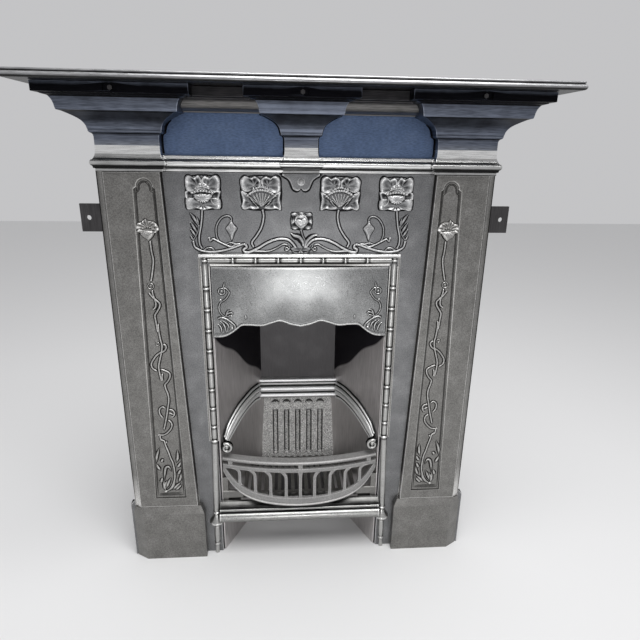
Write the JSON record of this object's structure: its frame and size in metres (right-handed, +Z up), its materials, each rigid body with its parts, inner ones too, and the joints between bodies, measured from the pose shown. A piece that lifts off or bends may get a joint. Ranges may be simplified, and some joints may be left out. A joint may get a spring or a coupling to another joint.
{
  "type": "cast iron fireplace",
  "caption": "Cast iron fireplace: moulded shelf on mitred corbels, tapered pilasters, bamboo framed opening, hood, register damper and lift-out basket grate.",
  "frame": {"origin": "bottom centre of the bounding box, on the floor line", "axes": "+X to the viewer's right, the decorated front faces -Y, +Z up from the floor"},
  "size_m": [0.988, 0.372, 1.093],
  "materials": {
    "bright_iron": "burnished and polished on the mouldings",
    "burnished_iron": "burnished, fine grained",
    "dark_iron": "blacked, matt",
    "fire_clay": "rough fired clay"
  },
  "bodies": {
    "surround": {"mantel_shelf": "bright_iron", "bamboo_top": "bright_iron", "bamboo_left": "bright_iron", "bamboo_right": "bright_iron", "opening_ledge": "bright_iron", "ash_rail": "bright_iron", "nosing_left": "bright_iron", "nosing_right": "bright_iron", "cheek_moulding_left": "bright_iron", "cheek_moulding_right": "bright_iron", "frieze_panel": "burnished_iron", "corbel_left": "burnished_iron", "corbel_centre": "burnished_iron", "corbel_right": "burnished_iron", "corbel_tongue": "burnished_iron", "front_plate": "burnished_iron", "hood": "burnished_iron", "cornice_left": "burnished_iron", "cornice_right": "burnished_iron", "pilaster_left": "burnished_iron", "pilaster_right": "burnished_iron", "plinth_left": "burnished_iron", "plinth_right": "burnished_iron", "grate_rest_left": "burnished_iron", "grate_rest_right": "burnished_iron", "corbel_screw_left": "dark_iron", "corbel_screw_centre": "dark_iron", "corbel_screw_right": "dark_iron", "rear_plate": "dark_iron", "upper_back_panel": "dark_iron", "register_plate": "dark_iron", "damper_pin": "dark_iron", "cheek_left": "dark_iron", "cheek_right": "dark_iron", "wall_lug_left": "dark_iron", "wall_lug_right": "dark_iron", "cheek_bolt_left_low": "dark_iron", "cheek_bolt_left_high": "dark_iron", "cheek_bolt_right_low": "dark_iron", "cheek_bolt_right_high": "dark_iron", "fire_brick": "fire_clay"},
    "basket_front": {"front_bars": "burnished_iron"},
    "grate": {"bottom_grate": "dark_iron"},
    "damper": {"damper_flap": "dark_iron", "damper_hook": "dark_iron"}
  },
  "joints": [
    {"name": "damper_swing", "type": "hinge", "parent": "surround", "child": "damper", "pos_m": [0, 0.108, 0.7733], "axis": [-1, 0, 0], "range_deg": [0, 75]},
    {"name": "front_bars_draw", "type": "slide", "parent": "surround", "child": "basket_front", "axis": [0, -0.9659, 0.2588], "range_m": [0, 0.12]},
    {"name": "bottom_grate_lift", "type": "slide", "parent": "surround", "child": "grate", "axis": [0, 0, 1], "range_m": [0, 0.08]}
  ]
}
